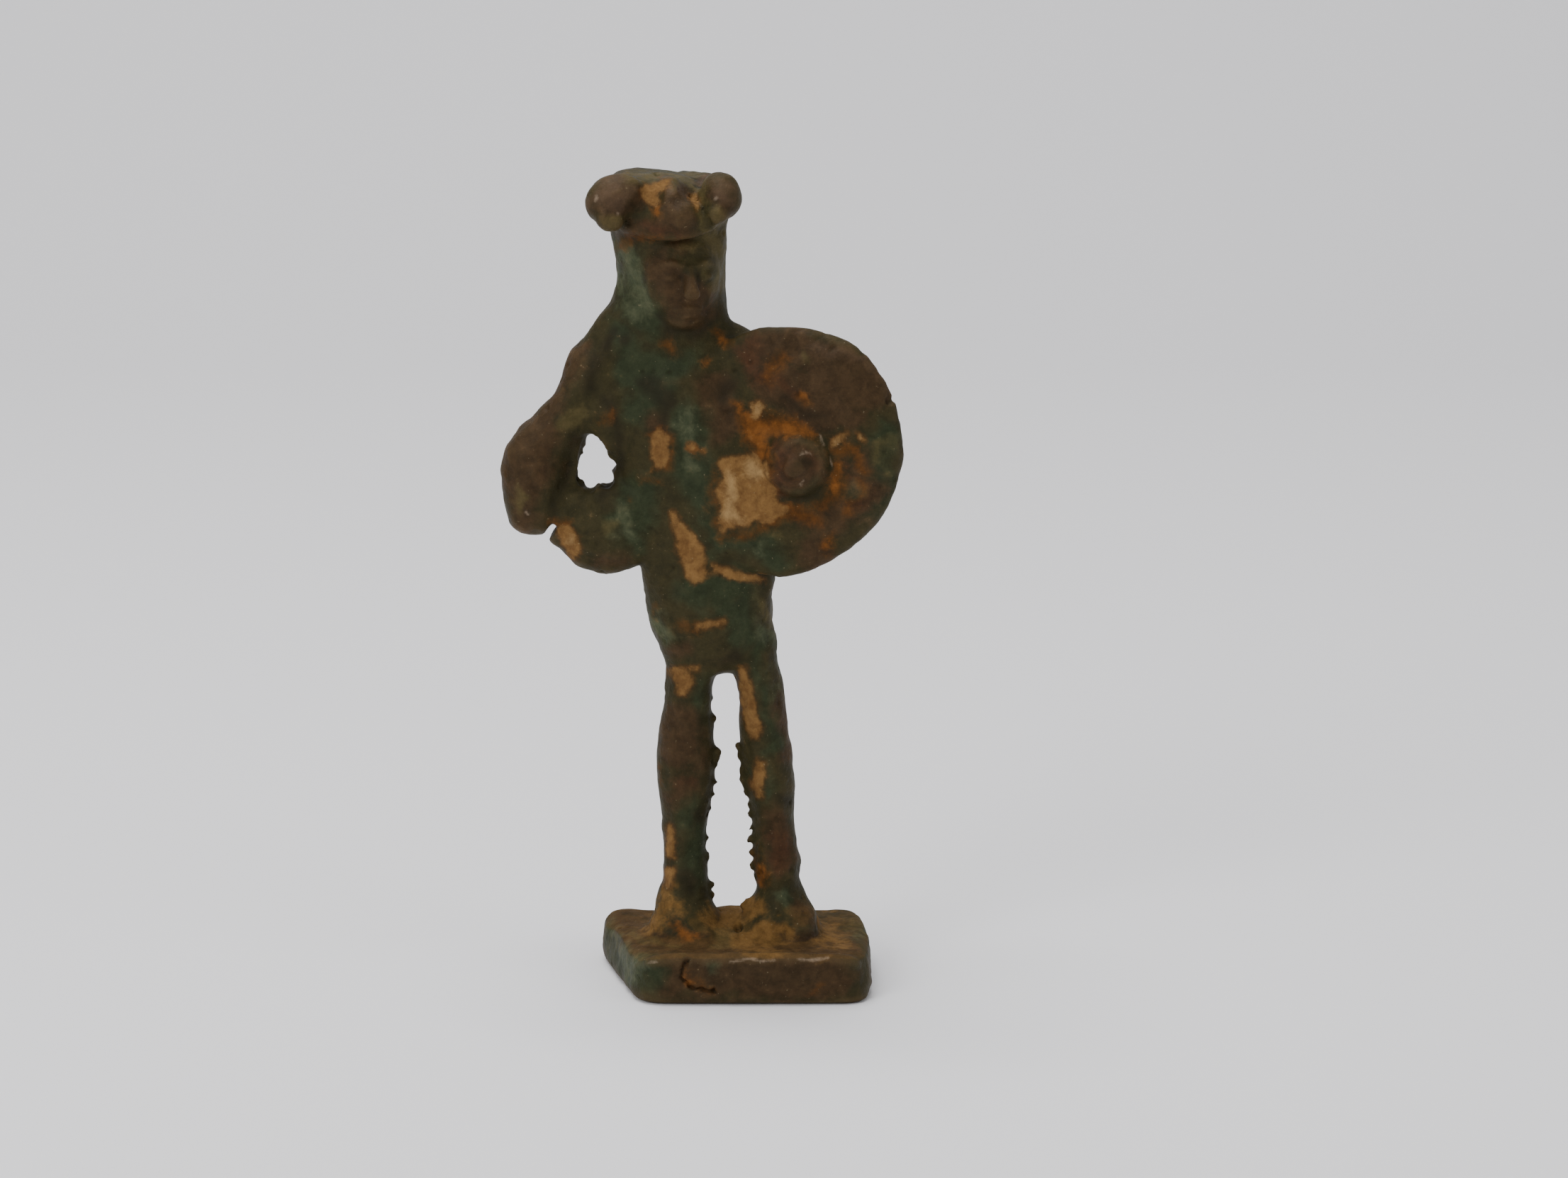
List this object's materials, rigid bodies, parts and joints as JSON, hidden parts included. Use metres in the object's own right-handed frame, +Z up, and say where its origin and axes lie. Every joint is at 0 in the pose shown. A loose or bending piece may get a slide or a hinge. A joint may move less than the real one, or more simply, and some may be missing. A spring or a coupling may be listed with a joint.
{
  "type": "bronze votive figure",
  "caption": "Small cast bronze standing warrior with a rolled headdress and a round bossed shield, one hand on the hip, on a thin slab base.",
  "frame": {"origin": "middle of the underside of the base", "axes": "+Z up through the figure, -Y the way the figure and its shield face, +X towards the shield"},
  "size_m": [0.0437, 0.0222, 0.0905],
  "materials": {
    "bronze": "old bronze with a brown and green patina, softly glossy where handled, with tan and orange earth left in the hollows"
  },
  "bodies": {
    "root": {"votive_figure": "bronze"}
  },
  "joints": []
}
